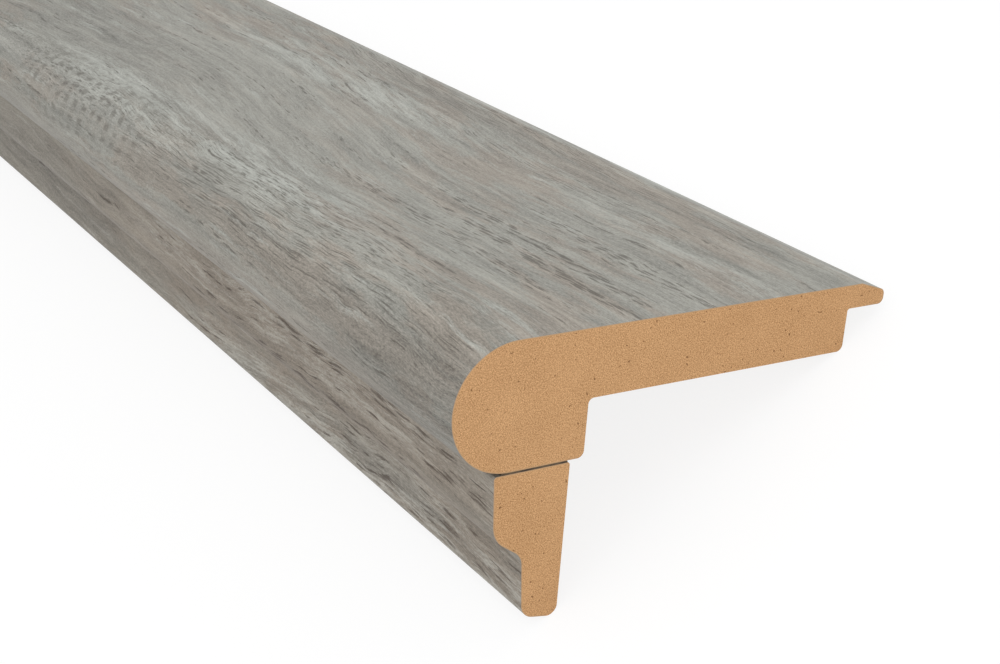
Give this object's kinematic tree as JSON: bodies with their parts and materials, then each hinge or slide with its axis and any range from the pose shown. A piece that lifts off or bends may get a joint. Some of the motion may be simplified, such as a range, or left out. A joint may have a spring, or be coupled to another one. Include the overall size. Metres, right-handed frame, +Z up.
{
  "type": "stair nosing",
  "caption": "Bullnose stair nosing with a thin bevelled rear lip and a stepped trim strip under the nose, foil-wrapped fibreboard with a grey oak print.",
  "frame": {"origin": "centre of the bounding box's footprint, on the floor that the stock lies on", "axes": "+Y along the length, away from the end that the picture shows; +X towards the rear lip as it lies leaned; +Z up"},
  "size_m": [0.0682, 1.2, 0.04],
  "materials": {
    "nosing_fibreboard": "raw, sawn and moulded fibreboard",
    "nosing_decor": "satin printed decor foil",
    "trim_fibreboard": "raw, sawn and moulded fibreboard",
    "trim_decor": "satin printed decor foil"
  },
  "bodies": {
    "root": {"nosing_core": "nosing_fibreboard", "nosing_foil": "nosing_decor", "trim_core": "trim_fibreboard", "trim_foil": "trim_decor"}
  },
  "joints": []
}
